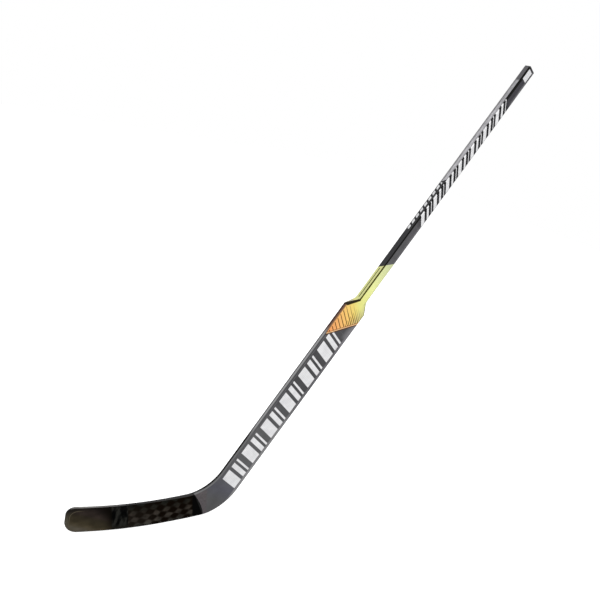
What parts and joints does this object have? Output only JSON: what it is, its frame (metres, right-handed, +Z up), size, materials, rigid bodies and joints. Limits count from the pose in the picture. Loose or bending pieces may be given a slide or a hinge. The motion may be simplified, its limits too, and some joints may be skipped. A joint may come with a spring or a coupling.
{
  "type": "hockey goalie stick",
  "caption": "Ice hockey goalie stick in playing stance: curved blade, wide paddle, shoulders and a slim hollow shaft closed by a pull-out end plug.",
  "frame": {"origin": "on the shaft's axis, where the hand holds it 60 mm above the neck", "axes": "+Z up from the ice, +X the way the shaft leans, -Y out of the front face"},
  "size_m": [1.0961, 0.0579, 1.3312],
  "materials": {
    "shaft_finish": "satin clear coat over carbon",
    "shoulder_paint": "gloss lacquer",
    "paddle_paint": "satin metallic lacquer",
    "heel_paint": "satin metallic lacquer",
    "blade_carbon": "clear-coated woven carbon",
    "inner_laminate": "bare laminate",
    "core_foam": "rigid closed-cell foam",
    "plug_plastic": "moulded",
    "label_vinyl": "printed vinyl, blank"
  },
  "bodies": {
    "stick": {"shaft_tube": "shaft_finish", "shoulder_block": "shoulder_paint", "shaft_label": "label_vinyl", "neck_tenon": "inner_laminate", "paddle_rib": "inner_laminate", "blade_rib": "inner_laminate", "paddle_front_skin": "paddle_paint", "paddle_back_skin": "paddle_paint", "paddle_inner_edge": "paddle_paint", "paddle_outer_edge": "paddle_paint", "heel_front_skin": "heel_paint", "heel_back_skin": "heel_paint", "heel_inner_edge": "heel_paint", "heel_outer_edge": "heel_paint", "blade_front_skin": "blade_carbon", "blade_back_skin": "blade_carbon", "blade_top_edge": "blade_carbon", "blade_sole_edge": "blade_carbon", "toe_edge": "blade_carbon", "paddle_inner_core": "core_foam", "paddle_outer_core": "core_foam", "heel_core": "core_foam", "blade_upper_core": "core_foam", "blade_lower_core": "core_foam"},
    "plug": {"end_plug": "plug_plastic"}
  },
  "joints": [
    {"name": "end_plug_slide", "type": "slide", "parent": "stick", "child": "plug", "axis": [0.4741, 0, 0.8805], "range_m": [0, 0.055]}
  ]
}
